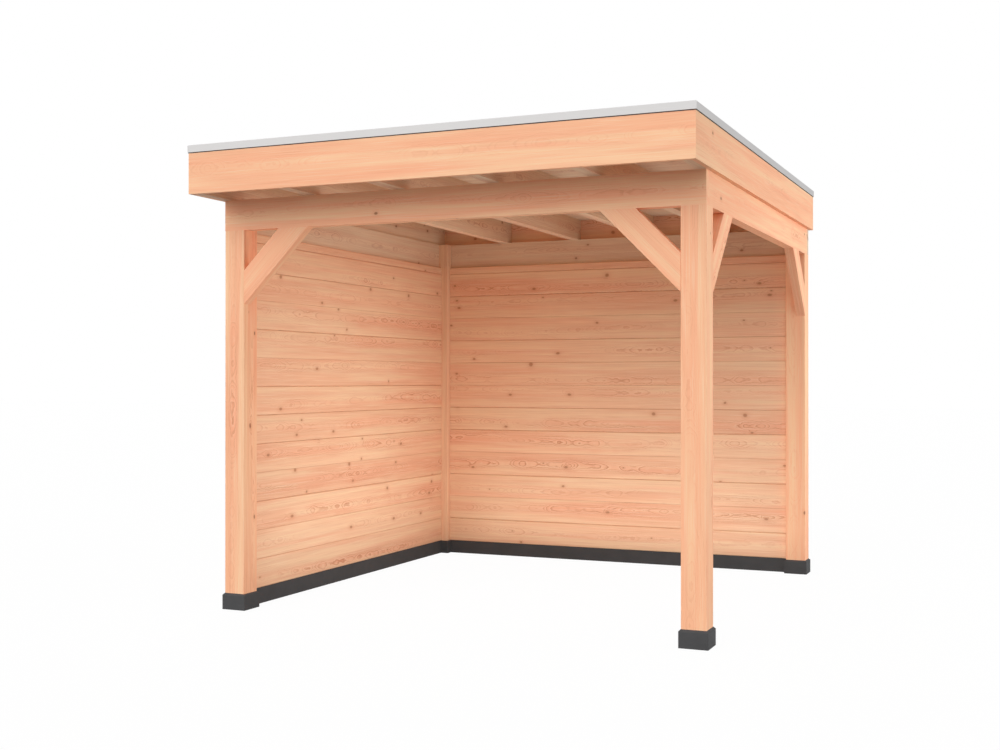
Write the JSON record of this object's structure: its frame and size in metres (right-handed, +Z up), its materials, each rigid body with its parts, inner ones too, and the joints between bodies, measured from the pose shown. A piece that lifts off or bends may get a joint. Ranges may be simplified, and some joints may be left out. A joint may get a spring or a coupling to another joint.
{
  "type": "garden canopy",
  "caption": "Timber garden canopy with a flat roof on posts, braces and ring beams, board walls on the left and at the back, open at the front and right.",
  "frame": {"origin": "on the ground under the middle of the roof's outer edges", "axes": "+X to the right along the open front, +Y from the front to the back, +Z up"},
  "size_m": [3.11, 3.366, 2.82],
  "materials": {
    "frame_timber": "planed softwood",
    "wall_timber": "planed softwood boards",
    "fascia_timber": "planed softwood",
    "deck_timber": "sawn softwood boards",
    "concrete": "anthracite cast concrete",
    "roof_sheet": "matt rubber sheet",
    "trim_metal": "mill aluminium"
  },
  "bodies": {
    "root": {"post_front_left": "frame_timber", "post_front_right": "frame_timber", "post_back_left": "frame_timber", "post_back_right": "frame_timber", "beam_front": "frame_timber", "beam_back": "frame_timber", "beam_left": "frame_timber", "beam_right": "frame_timber", "brace_front_left": "frame_timber", "brace_front_right": "frame_timber", "brace_right_front": "frame_timber", "brace_right_back": "frame_timber", "foot_front_left": "concrete", "foot_front_right": "concrete", "foot_back_left": "concrete", "foot_back_right": "concrete", "plinth_left": "concrete", "plinth_back": "concrete", "wall_left": "wall_timber", "wall_back": "wall_timber", "joist_1": "frame_timber", "joist_2": "frame_timber", "joist_3": "frame_timber", "joist_4": "frame_timber", "joist_edge_left": "frame_timber", "joist_edge_right": "frame_timber", "roof_deck": "deck_timber", "kerb_front": "deck_timber", "kerb_back": "deck_timber", "kerb_left": "deck_timber", "kerb_right": "deck_timber", "roof_membrane": "roof_sheet", "fascia_front": "fascia_timber", "fascia_back": "fascia_timber", "fascia_left": "fascia_timber", "fascia_right": "fascia_timber", "trim_front": "trim_metal", "trim_back": "trim_metal", "trim_left": "trim_metal", "trim_right": "trim_metal"}
  },
  "joints": []
}
